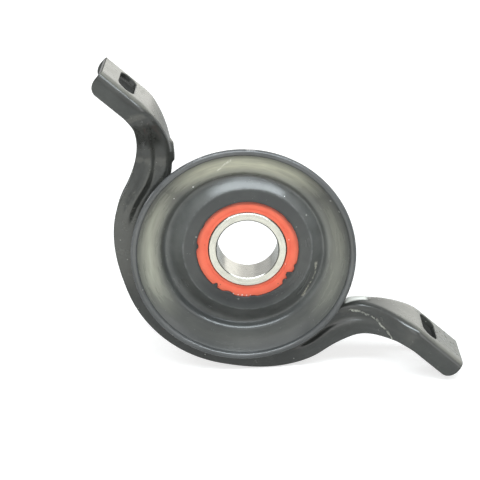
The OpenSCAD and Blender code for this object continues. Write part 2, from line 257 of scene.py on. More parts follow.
def arm_stations(reach):
    """Stations along one arm: web point, flange edge point, share forward, share of rib, way from the pip."""
    seat_r = CUP_R + CRADLE_GAP
    edge_r = seat_r + CRADLE_FLANGE_H
    web = ring_points(lambda a: seat_r, -90, -LEAVE_ANGLE, 58)
    web += right_arc(web[-1], NECK_R, 90 - LEAVE_ANGLE, NECK_SLOPE, 1.8)
    neck_end = len(web) - 1
    web += right_arc(web[-1], SWEEP_R, NECK_SLOPE, FOOT_SLOPE, 1.0)
    turn_r = (FOOT_H - web[-1].y)/(1 - math.cos(math.radians(FOOT_SLOPE)))
    web += right_arc(web[-1], turn_r, FOOT_SLOPE, 0, 2.0)
    foot_start = len(web) - 1
    start_x = web[-1].x
    end_x = reach - FLANGE_CORNER_R
    count = round((end_x - start_x)/1.5)
    web += [Vector((lerp(start_x, end_x, i/count), FOOT_H)) for i in range(1, count + 1)]
    corner_start = len(web) - 1
    for i in range(1, CORNER_ROWS + 1):
        turn = math.radians(90*i/CORNER_ROWS)
        web.append(Vector((end_x + FLANGE_CORNER_R*math.sin(turn), FOOT_H)))

    def flange_r(a):
        return edge_r + NECK_FLANGE_RISE*smooth((a + 60)/(60 - EDGE_LEAVE))

    edge = ring_points(flange_r, -90, -EDGE_LEAVE, 60)
    edge_leave = len(edge) - 1
    edge += right_arc(edge[-1], EDGE_SWEEP_R, 90 - EDGE_LEAVE, EDGE_SLOPE, 1.0)
    foot_z = FOOT_H - FOOT_FLANGE_H
    edge_turn_r = (foot_z - edge[-1].y)/(1 - math.cos(math.radians(EDGE_SLOPE)))
    edge += right_arc(edge[-1], edge_turn_r, EDGE_SLOPE, 0, 2.0)
    edge_foot = len(edge) - 1
    edge.append(Vector((reach, foot_z)))

    web_s = run_lengths(web)
    edge_s = run_lengths(edge)
    web_leave_s = seat_r*math.radians(90 - EDGE_LEAVE)
    edge_run = []
    for s in web_s:
        if s < web_leave_s:
            edge_run.append(edge_s[edge_leave]*s/web_leave_s)
        elif s < web_s[foot_start]:
            share = (s - web_leave_s)/(web_s[foot_start] - web_leave_s)
            edge_run.append(lerp(edge_s[edge_leave], edge_s[edge_foot], share))
        else:
            share = (s - web_s[foot_start])/(web_s[-1] - web_s[foot_start])
            edge_run.append(lerp(edge_s[edge_foot], edge_s[-1], share))
    edge_run = eased(edge_run[:corner_start], 40) + edge_run[corner_start:]
    pip_s = web_s[neck_end] + PIP_OUT

    stations = []
    for i, point in enumerate(web):
        foot = point_at(edge, edge_s, edge_run[i])
        if i > corner_start:
            turn = math.radians(90*(i - corner_start)/CORNER_ROWS)
            foot = foot + Vector((0, FLANGE_CORNER_R*(1 - math.cos(turn))))
        forward = smooth((point.x - REACH_START)/(REACH_END - REACH_START))
        rib_in = smooth((web_s[i] - web_leave_s*0.75)/(web_leave_s*0.25))
        rib = rib_in*(1 - smooth((point.x - RIB_END_X)/RIB_FADE))
        stations.append((point, foot, forward, rib, web_s[i] - pip_s))
    return stations


def rib_form(f):
    return smooth((f - 0.28)/0.22) - 0.5*smooth((f - 0.62)/0.22)


def pip_rise(way, y):
    """Height of the pressed pip at a place on the web."""
    middle = BRACKET_BEHIND - BEND_R - PIP_W/4
    past = max(0.0, abs(way) - (PIP_LEN - PIP_W)/2)
    away = math.hypot(past, y - middle)/(PIP_W/2)
    return PIP_H*smooth((1.08 - away)/0.8)


def section_rows(station, thin):
    """Outer and inner rows of one section, each from the front flange's edge to the back flange's edge."""
    point, foot, forward, rib, way = station
    span = foot - point
    height = span.length
    down = span/height
    front = lerp(FLARE_Y - BEND_R, FOOT_FRONT, forward)
    back = BRACKET_BEHIND
    low = height - SHEET_EDGE_R
    rows = []
    for i in range(FLANGE_ROWS, 0, -1):
        f = i/FLANGE_ROWS
        step = RIB_H*rib*rib_form(f)
        depth = lerp(BEND_R, low, f)
        rows.append((front - step, depth, front - step + SHEET_T, depth))
    in_r = BEND_R - SHEET_T
    for i in range(BEND_ROWS + 1):
        a = math.radians(90*i/BEND_ROWS)
        rows.append((front + BEND_R*(1 - math.cos(a)), BEND_R*(1 - math.sin(a)),
                     front + BEND_R - in_r*math.cos(a), BEND_R - in_r*math.sin(a)))
    for i in range(1, WEB_ROWS):
        y = lerp(front + BEND_R, back - BEND_R, i/WEB_ROWS)
        rows.append((y, 0.0, y, SHEET_T))
    for i in range(BEND_ROWS + 1):
        a = math.radians(90*i/BEND_ROWS)
        rows.append((back - BEND_R*(1 - math.sin(a)), BEND_R*(1 - math.cos(a)),
                     back - BEND_R + in_r*math.sin(a), BEND_R - in_r*math.cos(a)))
    for i in range(1, FLANGE_ROWS + 1):
        depth = lerp(BEND_R, low, i/FLANGE_ROWS)
        rows.append((back, depth, back - SHEET_T, depth))
    outer = []
    inner = []
    for y_out, depth_out, y_in, depth_in in rows:
        rise = pip_rise(way, y_out) if depth_out < BEND_R else 0.0
        near = Vector((y_out, depth_out - rise))
        far = Vector((y_in, depth_in - rise))
        squeeze = (far - near).normalized()*thin
        outer.append(near + squeeze)
        inner.append(far - squeeze)

    def round_end(near, far):
        """The rounded free edge between the last outer and the last inner point."""
        middle = (near + far)/2
        half = (near - far)/2
        r = min(SHEET_EDGE_R, half.length)
        out = half.normalized()
        flat = half.length - r
        points = []
        for side in (1, -1):
            for k in range(1, END_ROUND + 1):
                a = math.radians(90*k/END_ROUND)
                a = a if side == 1 else math.radians(90) - a + math.radians(90/END_ROUND)
                points.append(middle + out*side*(flat + r*math.cos(a)) + Vector((0, r*math.sin(a))))
        return points

    back_end = round_end(outer[-1], inner[-1])
    front_end = round_end(inner[0], outer[0])
    loop = outer + back_end + inner[::-1] + front_end
    return [(point.x + q.y*down.x, q.x, point.y + q.y*down.y) for q in loop], len(outer), len(back_end)


def bracket_mesh():
    right = arm_stations(RIGHT_REACH)
    left = arm_stations(LEFT_REACH)
    flip = Matrix(((-1, 0), (0, 1)))
    mirrored = [(flip @ a, flip @ b, forward, rib, s) for a, b, forward, rib, s in left[:0:-1]]
    stations = mirrored + right
    rings = []
    for i, station in enumerate(stations):
        loop, rows, ends = section_rows(station, 0.0)
        if i in (0, len(stations) - 1):
            side = -1 if i == 0 else 1
            thin, _, _ = section_rows(station, END_CHAMFER)
            shy = [(x - side*END_CHAMFER, y, z) for x, y, z in loop]
            rings += [thin, shy] if i == 0 else [shy, thin]
        else:
            rings.append(loop)
    n = len(rings[0])
    points = [p for ring in rings for p in ring]
    faces = []
    for k in range(len(rings) - 1):
        for j in range(n):
            a = k*n + j
            b = k*n + (j + 1) % n
            faces.append((a, b, b + n, a + n))
    for base, flipped in ((0, True), ((len(rings) - 1)*n, False)):
        inner_at = [base + rows + ends + (rows - 1 - j) for j in range(rows)]
        outer_at = [base + j for j in range(rows)]
        caps = [(outer_at[j], outer_at[j + 1], inner_at[j + 1], inner_at[j]) for j in range(rows - 1)]
        back_round = [base + rows + k for k in range(ends)]
        front_round = [base + 2*rows + ends + k for k in range(ends)]
        caps.append((outer_at[-1], *back_round, inner_at[-1]))
        caps.append((inner_at[0], *front_round, outer_at[0]))
        faces += [cap[::-1] if flipped else cap for cap in caps]
    return points, faces


def slot_cutter(x):
    """A stadium-shaped plug through a foot, with a small chamfer at the top and bottom face."""
    half = (SLOT_LEN - SLOT_W)/2
    middle = (FOOT_FRONT + BRACKET_BEHIND)/2
    under = FOOT_H - SHEET_T
    levels = ((under - PLUG_PAST, PLUG_MORE), (under, SLOT_LIP), (under + SLOT_LIP, 0),
              (FOOT_H - SLOT_LIP, 0), (FOOT_H, SLOT_LIP), (FOOT_H + PLUG_PAST, PLUG_MORE))
    points = []
    for z, more in levels:
        r = SLOT_W/2 + more
        for end in (1, -1):
            for i in range(SLOT_STEPS + 1):
                a = math.pi*i/SLOT_STEPS + (0 if end == 1 else math.pi)
                points.append((x + r*math.cos(a), middle + end*half + r*math.sin(a), z))
    n = 2*(SLOT_STEPS + 1)
    faces = [tuple(range(n))[::-1], tuple(range((len(levels) - 1)*n, len(levels)*n))]
    for k in range(len(levels) - 1):
        for j in range(n):
            a = k*n + j
            b = k*n + (j + 1) % n
            faces.append((a, b, b + n, a + n))
    mesh = bpy.data.meshes.new("slot_cutter")
    mesh.from_pydata([[c*MM for c in p] for p in points], [], faces)
    cutter = bpy.data.objects.new("slot_cutter", mesh)
    scene.collection.objects.link(cutter)
    return cutter


bracket = new_piece("bracket_sheet", *bracket_mesh(), "hanger", "bracket_coat", "bracket")
for slot_x in (LEFT_SLOT_X, RIGHT_SLOT_X):
    cutter = slot_cutter(slot_x)
    cut = bracket.modifiers.new("slot", "BOOLEAN")
    cut.operation = "DIFFERENCE"
    cut.solver = "EXACT"
    cut.object = cutter
    graph = bpy.context.evaluated_depsgraph_get()
    cut_mesh = bpy.data.meshes.new_from_object(bracket.evaluated_get(graph))
    bracket.modifiers.clear()
    bracket.data = cut_mesh
    cutter_mesh = cutter.data
    bpy.data.objects.remove(cutter)
    bpy.data.meshes.remove(cutter_mesh)
finish_shading(bracket.data)

# Cushion: rows from the hub's bore over the front to the ring, round the back and into the bore again
TURNS = 360
FACE_ROWS = 84


def from_ring(r, angle):
    """Distance from the bearing's axis to a circle of radius r round the ring's own axis."""
    reach = HUB_LIFT*math.cos(angle)
    return -HUB_LIFT*math.sin(angle) + math.sqrt(r*r - reach*reach)


def ring_radius(r, angle):
    """The reverse: distance from the ring's axis of a place at r from the bearing's axis."""
    return math.sqrt(r*r + 2*r*HUB_LIFT*math.sin(angle) + HUB_LIFT*HUB_LIFT)


def arc(centre, r, first, last, count):
    points = []
    for i in range(count + 1):
        a = math.radians(lerp(first, last, i/count))
        points.append((centre[0] + r*math.cos(a), centre[1] + r*math.sin(a)))
    return points


DISH_Y = RIM_Y + DISH_DEPTH - DISH_R
DISH_PITCH = RIM_IN_R - math.sqrt(DISH_R*DISH_R - (RIM_Y - DISH_Y)**2)
FLARE_R = BEND_R + FLARE_GAP
CURL_IN_R = CURL_R - RING_T
SEAT_Y = RING_BEHIND - RING_T


def dish_height(r):
    """Y of the dish at a distance from the ring's axis."""
    across = r - DISH_PITCH
    return DISH_Y + math.sqrt(max(0.0, DISH_R**2 - across*across))


def front_height(r, angle):
    """Y of the cushion's front outside the hub's face: the hub's slope, the groove and the dish."""
    r_ring = ring_radius(r, angle)
    slope = HUB_RISE*(r - HUB_R) - HUB_AHEAD
    wall = -soft_max(GROOVE_RISE*(r_ring - GROOVE_R) - GROOVE_Y, -GROOVE_Y, GROOVE_WALL_ROUND)
    hollow = soft_max(wall, dish_height(r_ring), CREST_ROUND)
    return -soft_max(-slope, -hollow, GROOVE_ROUND)


def bend(first, corner, last, count):
    """A rounded corner: points of a quadratic curve, without its first point."""
    points = []
    for i in range(1, count + 1):
        t = i/count
        points.append(tuple((1 - t)**2*a + 2*t*(1 - t)*b + t*t*c for a, b, c in zip(first, corner, last)))
    return points


# Places where moulding flash laps over the seal, as seen in the photograph: angle and width in degrees,
# reach in millimetres
FLASH = ((-33, 5, 2.2), (-42, 4, 1.3), (-130, 3, 1.7), (-112, 7, 1.0), (176, 4, 0.9), (-20, 3, 0.7),
         (-84, 5, 0.5), (150, 5, 0.3), (38, 4, 0.3))


def lip_radius(degrees):
    """Inner edge of the hub's front lip, with its ragged flash."""
    place = Vector((math.cos(math.radians(degrees)), math.sin(math.radians(degrees)), 0.3))
    reach = 0.12*noise.noise(place*6) + 0.08*noise.noise(place*22)
    for middle, width, depth in FLASH:
        away = abs((degrees - math.degrees(PHOTO_ROLL) - middle + 180) % 360 - 180)/width
        reach += depth*smooth(1.2 - away)
    return LIP_R - reach


def cushion_rows(angle):
    """Closed chain of (distance from the bearing's axis, Y) at one angle."""
    lip = lip_radius(math.degrees(angle))
    inset = HUB_EDGE_R*math.tan(math.radians(22.5))
    rows = [(LIP_R, -BEARING_HALF), (lip, -BEARING_HALF - 0.05)]
    rows += arc((lip + LIP_ROUND, -HUB_AHEAD + LIP_ROUND), LIP_ROUND, 180, 270, 4)
    rows += [(lerp(lip + LIP_ROUND, HUB_R - inset, i/8), -HUB_AHEAD) for i in range(1, 8)]
    rows += arc((HUB_R - inset, -HUB_AHEAD + HUB_EDGE_R), HUB_EDGE_R, -90, -45, 5)
    start = rows[-1][0]
    rim = from_ring(RIM_IN_R - CUSHION_GAP, angle)
    for i in range(1, FACE_ROWS + 1):
        r = lerp(start, rim, i/FACE_ROWS)
        rows.append((r, front_height(r, angle)))

    flare_pitch = CUP_R + FLARE_R
    flare_out = FLARE_R + RING_T
    away = math.degrees(math.acos((flare_pitch - RIM_IN_R)/flare_out))
    on_ring = arc((flare_pitch, FLARE_Y), flare_out, 180 + away, 180, 8)
    on_ring += arc((CUP_R - CURL_R, SEAT_Y - CURL_IN_R), CURL_IN_R, 0, 90, 5)
    on_ring += [(REAR_LIP_R, SEAT_Y), (REAR_LIP_R, RING_BEHIND - REAR_EDGE)]
    on_ring += [(REAR_LIP_R - REAR_EDGE, RING_BEHIND)]
    rows += [(from_ring(r - CUSHION_GAP, angle), y) for r, y in on_ring]
    wall_r = HUB_R + HUB_SLOPE_W
    start = rows[-1][0]
    rows += [(lerp(start, wall_r + BACK_FILLET, i/8), RING_BEHIND) for i in range(1, 9)]
    rows += bend(rows[-1], (wall_r, RING_BEHIND), (wall_r, RING_BEHIND + BACK_FILLET), 5)
    low = HUB_BEHIND - HUB_SLOPE_W
    rows += bend((wall_r, low - 0.6), (wall_r, low), (wall_r - 0.5, low + 0.5), 4)
    rows += arc((HUB_R - inset, HUB_BEHIND - HUB_EDGE_R), HUB_EDGE_R, 45, 90, 5)
    rows += [(LIP_R + REAR_LIP_ROUND, HUB_BEHIND)]
    rows += arc((LIP_R + REAR_LIP_ROUND, HUB_BEHIND - REAR_LIP_ROUND), REAR_LIP_ROUND, 90, 180, 4)[1:]
    rows += [(LIP_R, BEARING_HALF), (BEARING_R, BEARING_HALF), (BEARING_R, -BEARING_HALF)]
    return rows


def cushion_mesh():
    points = []
    faces = []
    for k in range(TURNS):
        angle = 2*math.pi*k/TURNS
        rows = cushion_rows(angle)
        n = len(rows)
        points += [(r*math.cos(angle), y, r*math.sin(angle)) for r, y in rows]
    for k in range(TURNS):
        for j in range(n):
            a = k*n + j
            b = k*n + (j + 1) % n
            c = ((k + 1) % TURNS)*n + j
            d = ((k + 1) % TURNS)*n + (j + 1) % n
            faces.append((a, c, d, b))
    return points, faces


cushion = new_piece("cushion_moulding", *cushion_mesh(), "hanger", "cushion_rubber", "rubber_cushion")


# Small helpers for node materials
class Shader:
    """A material with a Principled surface and short ways to add the nodes that feed it."""

    def __init__(self, name, colour, roughness, metallic=0.0, specular=0.5):
        self.material = bpy.data.materials.new(name)
        self.material.use_nodes = True
        self.tree = self.material.node_tree
        self.surface = self.tree.nodes["Principled BSDF"]
        self.surface.inputs["Base Color"].default_value = (*colour, 1)
        self.surface.inputs["Roughness"].default_value = roughness
        self.surface.inputs["Metallic"].default_value = metallic
        self.surface.inputs["Specular IOR Level"].default_value = specular
        self.place = self.add("ShaderNodeTexCoord").outputs["Object"]

    def add(self, kind, **settings):
        node = self.tree.nodes.new(kind)
        for key, value in settings.items():
            setattr(node, key, value)
        return node

    def join(self, value, socket):
        if hasattr(value, "is_output"):
            self.tree.links.new(value, socket)
        else:
            socket.default_value = value

    def math(self, operation, a, b=0.0, clamp=False):
        node = self.add("ShaderNodeMath", operation=operation, use_clamp=clamp)
        self.join(a, node.inputs[0])
        self.join(b, node.inputs[1])
        return node.outputs[0]

    def ramp(self, value, low, high, out_low=0.0, out_high=1.0):
        node = self.add("ShaderNodeMapRange", interpolation_type="SMOOTHSTEP")
        self.join(value, node.inputs["Value"])
        node.inputs["From Min"].default_value = low
        node.inputs["From Max"].default_value = high
        node.inputs["To Min"].default_value = out_low
        node.inputs["To Max"].default_value = out_high
        return node.outputs["Result"]

    def noise(self, scale, detail=3.0, roughness=0.55, place=None, distortion=0.0):
        node = self.add("ShaderNodeTexNoise")
        self.join(self.place if place is None else place, node.inputs["Vector"])
        node.inputs["Scale"].default_value = scale
        node.inputs["Detail"].default_value = detail
        node.inputs["Roughness"].default_value = roughness
        node.inputs["Distortion"].default_value = distortion
        return node.outputs["Fac"]

    def cells(self, scale, place=None, output="Distance", randomness=1.0):
        node = self.add("ShaderNodeTexVoronoi")
        self.join(self.place if place is None else place, node.inputs["Vector"])
        node.inputs["Scale"].default_value = scale
        node.inputs["Randomness"].default_value = randomness
        return node.outputs[output]

    def mix(self, factor, a, b):
        node = self.add("ShaderNodeMix", data_type="RGBA")
        self.join(factor, node.inputs["Factor"])
        self.join(a if hasattr(a, "is_output") else (*a, 1), node.inputs["A"])
        self.join(b if hasattr(b, "is_output") else (*b, 1), node.inputs["B"])
        return node.outputs["Result"]

    def split(self, place=None):
        node = self.add("ShaderNodeSeparateXYZ")
        self.join(self.place if place is None else place, node.inputs[0])
        return node.outputs

    def radius(self, centre_z=0.0):
        """Distance from an axis along Y, in metres."""
        x, _, z = self.split()
        z = self.math("SUBTRACT", z, centre_z)
        squares = self.math("ADD", self.math("MULTIPLY", x, x), self.math("MULTIPLY", z, z))
        return self.math("SQRT", squares)

    def polar(self, centre_z=0.0, turns=1.0):
        """Coordinates that run round an axis along Y, so a texture can follow the turning."""
        x, y, z = self.split()
        z = self.math("SUBTRACT", z, centre_z)
        angle = self.math("MULTIPLY", self.math("ARCTAN2", z, x), turns)
        node = self.add("ShaderNodeCombineXYZ")
        self.join(self.radius(centre_z), node.inputs[0])
        self.join(y, node.inputs[1])
        self.join(angle, node.inputs[2])
        return node.outputs[0]

    def stretch(self, place, scale):
        node = self.add("ShaderNodeMapping")
        self.join(place, node.inputs["Vector"])
        node.inputs["Scale"].default_value = scale
        return node.outputs["Vector"]

    def bump(self, height, distance, strength=1.0, below=None):
        node = self.add("ShaderNodeBump")
        self.join(height, node.inputs["Height"])
        node.inputs["Distance"].default_value = distance
        node.inputs["Strength"].default_value = strength
        if below is not None:
            self.join(below, node.inputs["Normal"])
        return node.outputs["Normal"]

    def set(self, **sockets):
        for name, value in sockets.items():
            self.join(value, self.surface.inputs[name.replace("_", " ")])
        return self.material


def specks(shader, scale, size, share):
    """A few small dots: Voronoi cell centres, of which only a share is kept."""
    near = shader.ramp(shader.cells(scale), size*0.5, size, 1.0, 0.0)
    pick = shader.add("ShaderNodeSeparateColor")
    shader.join(shader.cells(scale, output="Color"), pick.inputs[0])
    keep = shader.math("LESS_THAN", pick.outputs[0], share)
    return shader.math("MULTIPLY", near, keep)


def coat_material(name, colour, wear=None, scrapes_and_highlights=()):
    """Black electro-coat over steel: faint orange peel, dust and rub marks, and pale marks passed in, painted
    highlight and sheen among them.
    """
    shader = Shader(name, colour, 0.3, specular=0.7)
    cloud = shader.noise(38, 4)
    peel = shader.noise(900, 2)
    grime = shader.noise(160, 5, 0.65)
    dust = specks(shader, 340, 0.16, 0.05)
    base = shader.mix(shader.ramp(cloud, 0.35, 0.7), [c*0.85 for c in colour], [c*1.3 for c in colour])
    base = shader.mix(shader.ramp(grime, 0.55, 0.8, 0, 0.3), base, (0.16, 0.155, 0.13))
    base = shader.mix(shader.math("MULTIPLY", dust, 0.45), base, (0.5, 0.49, 0.44))
    rough = shader.math("ADD", shader.ramp(cloud, 0.3, 0.7, 0.14, 0.22),
                        shader.ramp(grime, 0.5, 0.75, 0, 0.12))
    rough = shader.math("ADD", rough, shader.math("MULTIPLY", dust, 0.3), clamp=True)
    normal = shader.bump(peel, 0.00006, 0.35)
    normal = shader.bump(grime, 0.00012, 0.25, normal)
    if wear is not None:
        worn = wear(shader)
        base = shader.mix(worn, base, (0.5, 0.5, 0.5))
        shader.set(Metallic=worn)
    # Pale marks: real scrapes, and painted highlight and sheen
    for mark_mask, pale in scrapes_and_highlights:
        mark_share = mark_mask(shader)
        base = shader.mix(mark_share, base, pale)
        rough = shader.math("ADD", rough, shader.math("MULTIPLY", mark_share, 0.3), clamp=True)
    return shader.set(Base_Color=base, Roughness=rough, Normal=normal)


def bead_wear(shader):
    """Coat rubbed through along the bead's outer crest, in broken streaks."""
    crest = shader.ramp(shader.radius(ring_centre_z), bead_out_r - 0.55*MM, bead_out_r - 0.1*MM)
    streak = shader.noise(1, 4, 0.6, shader.stretch(shader.polar(ring_centre_z), (120, 120, 5)))
    return shader.math("MULTIPLY", crest, shader.ramp(streak, 0.55, 0.66))


def rubber_material():
    """Satin black moulded rubber, greyed by bloom and dust, with fine turning marks from its mould; painted
    sheen in the dish, painted fill light in the groove, painted shade round the lip and painted highlights on
    the hub's edge and in lines.
    """
    shader = Shader("cushion_rubber", (0.045, 0.047, 0.047), 0.25)
    bloom = shader.noise(45, 4, 0.6)
    smear = shader.noise(1, 4, 0.6, shader.stretch(shader.polar(ring_centre_z), (420, 420, 2.5)))
    grain = shader.noise(1500, 2)
    dust = specks(shader, 300, 0.2, 0.02)
    lint = specks(shader, 900, 0.25, 0.06)
    base = shader.mix(shader.ramp(bloom, 0.35, 0.75), (0.046, 0.048, 0.048), (0.066, 0.068, 0.065))
    # The groove lightened: grey dust and painted fill light
    base = shader.mix(groove_dust_and_fill(shader), base, (0.125, 0.128, 0.122))
    # Bloom in the dish, with painted sheen in place of a reflection
    bloom_and_sheen = shader.math("MULTIPLY", dish_bloom_and_sheen(shader), shader.ramp(smear, 0.3, 0.7, 0.72, 1.0))
    base = shader.mix(bloom_and_sheen, base, (0.82, 0.81, 0.64))
    base = shader.mix(shader.math("MULTIPLY", dust, 0.5), base, (0.5, 0.5, 0.46))
    base = shader.mix(shader.math("MULTIPLY", lint, 0.25), base, (0.3, 0.3, 0.3))
    # Pale hub edge: rub wear and a painted highlight
    base = shader.mix(shader.math("MULTIPLY", hub_edge_rub_and_highlight(shader), 0.22), base, (0.3, 0.3, 0.3))
    # Painted shade round the lip, near black
    base = shader.mix(lip_shade(shader), base, (0.012, 0.012, 0.013))
    # Pale streaks: a scuff, and painted highlight lines along the groove's right side
    for first, last, pale in SCUFFS_AND_HIGHLIGHTS:
        base = shader.mix(pale_streak(shader, first, last), base, pale)
    for right, up, size in DUST_DOTS:
        base = shader.mix(dot(shader, right, up, size), base, (0.85, 0.85, 0.83))
    rough = shader.math("ADD", shader.ramp(smear, 0.3, 0.75, 0.19, 0.27),
                        shader.ramp(bloom, 0.4, 0.8, 0, 0.05))
    rough = shader.math("ADD", rough, shader.math("MULTIPLY", bloom_and_sheen, 0.25))
    normal = shader.bump(grain, 0.00005, 0.4)
    normal = shader.bump(smear, 0.0001, 0.25, normal)
    return shader.set(Base_Color=base, Roughness=rough, Normal=normal)


# Marks seen in the photograph, along its right and up, in millimetres: specks with a size, the arm's ridge,
# and pale streaks with a colour, the first a scuff and the other two painted highlight lines
DUST_DOTS = ((-26.0, 31.6, 0.7), (-35.2, 25.9, 0.5), (17.7, 27.4, 0.4))
RIDGE = ((49.8, -31.8), (60.4, -32.8), (68.2, -37.0), (73.1, -45.9))
SCUFFS_AND_HIGHLIGHTS = (((-15.3, 40.0), (-6.5, 46.2), (0.85, 0.84, 0.74)), ((33.6, -6.5), (32.0, -17.5), (0.4, 0.39, 0.33)),
          ((32.0, -17.5), (26.9, -27.0), (0.5, 0.48, 0.4)))


def along(shader, direction):
    """Distance along a direction, in metres."""
    node = shader.add("ShaderNodeVectorMath", operation="DOT_PRODUCT")
    shader.join(shader.place, node.inputs[0])
    node.inputs[1].default_value = direction
    return node.outputs["Value"]


def dot(shader, right, up, size):
    """A fleck of dust at one place on the front."""
    across = shader.math("SUBTRACT", along(shader, PHOTO_RIGHT), right*MM)
    rise = shader.math("SUBTRACT", along(shader, PHOTO_UP), up*MM)
    squares = shader.math("ADD", shader.math("MULTIPLY", across, across), shader.math("MULTIPLY", rise, rise))
    ragged = shader.math("MULTIPLY", shader.noise(1600, 2), 0.5*size*MM)
    away = shader.math("ADD", shader.math("SQRT", squares), ragged)
    return shader.ramp(away, 0.5*size*MM, size*MM, 1.0, 0.0)


def pale_streak(shader, first, last):
    """A pale streak between two places on the front, used for rubbed scuffs and for painted highlight lines.
    """
    run = Vector((last[0] - first[0], last[1] - first[1]))
    way = run.normalized()
    line = PHOTO_RIGHT*way.x + PHOTO_UP*way.y
    cross = PHOTO_RIGHT*way.y - PHOTO_UP*way.x
    start = first[0]*way.x + first[1]*way.y
    aside = first[0]*way.y - first[1]*way.x
    wander = shader.math("MULTIPLY", shader.math("SUBTRACT", shader.noise(140, 3), 0.5), 5*MM)
    off = shader.math("ADD", shader.math("SUBTRACT", along(shader, cross), aside*MM), wander)
    near = shader.ramp(shader.math("ABSOLUTE", off), 0.15*MM, 0.8*MM, 1.0, 0.0)
    place = along(shader, line)
    begun = shader.ramp(place, start*MM, (start + 1.5)*MM)
    ended = shader.ramp(place, (start + run.length - 1.5)*MM, (start + run.length)*MM, 1.0, 0.0)
    broken = shader.ramp(shader.noise(900, 3), 0.35, 0.6)
    front = shader.ramp(shader.split()[1], -2*MM, -1*MM, 1.0, 0.0)
    near = shader.math("MULTIPLY", shader.math("MULTIPLY", near, broken), front)
    return shader.math("MULTIPLY", near, shader.math("MULTIPLY", begun, ended))


def hub_edge_rub_and_highlight(shader):
    """The rubbed edge round the hub's front face, lightened also as a painted highlight where the edge
    catches light.
    """
    r = shader.radius()
    inside = shader.ramp(r, (HUB_R - 0.7)*MM, (HUB_R - 0.1)*MM)
    outside = shader.ramp(r, (HUB_R + 0.1)*MM, (HUB_R + 0.6)*MM, 1.0, 0.0)
    broken = shader.ramp(shader.noise(220, 4), 0.4, 0.65)
    return shader.math("MULTIPLY", shader.math("MULTIPLY", inside, outside), broken)


def dish_bloom_and_sheen(shader):
    """Chalky bloom in the dish, with painted sheen: the top and left of the front view made brightest, in
    place of the reflection of a bright floor in front.
    """
    r = shader.radius(ring_centre_z)
    inner = shader.ramp(r, 38*MM, 46*MM)
    dish = shader.math("MULTIPLY", inner, shader.ramp(r, 46*MM, 51.5*MM, 1.0, 0.3))
    top = shader.ramp(along(shader, PHOTO_UP), 22*MM, 47*MM, 0.04, 0.95)
    left = shader.ramp(along(shader, PHOTO_RIGHT*-1), 24*MM, 50*MM, 0.0, 0.46)
    left = shader.math("MULTIPLY", left, shader.ramp(along(shader, PHOTO_UP), -40*MM, -10*MM, 0.3, 1.0))
    right = shader.ramp(along(shader, PHOTO_RIGHT), 24*MM, 46*MM, 0.0, 0.22)
    side = shader.math("MAXIMUM", top, shader.math("MAXIMUM", left, right))
    return shader.math("MULTIPLY", dish, side)


def groove_dust_and_fill(shader):
    """Grey dust in the groove round the hub, and painted fill light: the groove lightened where shade falls.
    """
    patchy = shader.ramp(shader.noise(70, 4, 0.6), 0.3, 0.7, 0.55, 0.95)
    return shader.math("MULTIPLY", band(shader, shader.radius(), 32.5, 39.5, 2.5), patchy)


def lip_shade(shader):
    """Painted shade on the lip round the seal, wider towards the bottom of the front view."""
    r = shader.radius()
    lip = shader.ramp(r, 24.6*MM, 26.4*MM, 0.85, 0.0)
    low = shader.ramp(along(shader, PHOTO_UP), -24*MM, -8*MM, 0.6, 0.0)
    wide = shader.math("MULTIPLY", shader.ramp(r, 27.5*MM, 30.5*MM, 1.0, 0.0), low)
    patchy = shader.ramp(shader.noise(130, 4), 0.3, 0.6, 0.6, 1.0)
    return shader.math("MULTIPLY", shader.math("MAXIMUM", lip, wide), patchy)


def ridge_wear(shader):
    """Coat scraped to a ragged cream line along the pressed step of the right arm."""
    lines = [pale_streak(shader, first, last) for first, last in zip(RIDGE, RIDGE[1:])]
    both = shader.math("MAXIMUM", lines[0], lines[1])
    return shader.math("MULTIPLY", shader.math("MAXIMUM", both, lines[2]), 0.8)


def band(shader, value, low, high, soft):
    """One between two values, in millimetres, and nought outside them."""
    begun = shader.ramp(value, (low - soft)*MM, low*MM)
    ended = shader.ramp(value, high*MM, (high + soft)*MM, 1.0, 0.0)
    return shader.math("MULTIPLY", begun, ended)


def bore_darkening(shader):
    """Darker tone in the bore, and dark lines at its mouth and along the inner ring's outer edge."""
    r = shader.radius()
    bore = shader.ramp(r, 15.05*MM, 15.15*MM, 0.25, 0.0)
    mouth = shader.math("MULTIPLY", band(shader, r, 15.2, 15.5, 0.1), 0.8)
    edge = shader.math("MULTIPLY", band(shader, r, 18.85, 19.2, 0.15), 0.85)
    return shader.math("MAXIMUM", bore, shader.math("MAXIMUM", mouth, edge))


def pip_highlight(shader):
    """Painted highlight on the crown of the right arm's pip, a pale patch in place of the reflection of an
    overhead lamp.
    """
    _, y, _ = shader.split()
    across = band(shader, along(shader, PHOTO_RIGHT), 49.5, 58.0, 2.0)
    crown = band(shader, y, -6.2, -3.6, 0.8)
    rise = band(shader, along(shader, PHOTO_UP), -31, -20, 1)
    return shader.math("MULTIPLY", shader.math("MULTIPLY", across, crown), rise)


def web_dust_and_sheen(shader):
    """Warm dust on the web, most of it on the feet, and painted sheen: up-facing faces lightened in place of
    their bright grazing reflection.
    """
    geometry = shader.add("ShaderNodeNewGeometry")
    _, _, rise = shader.split(geometry.outputs["Normal"])
    x, _, _ = shader.split()
    amount = shader.ramp(shader.math("ABSOLUTE", x), 55*MM, 95*MM, 0.2, 0.45)
    patchy = shader.ramp(shader.noise(60, 5, 0.6), 0.3, 0.7, 0.75, 1.0)
    return shader.math("MULTIPLY", shader.math("MULTIPLY", shader.ramp(rise, 0.6, 0.95), patchy), amount)


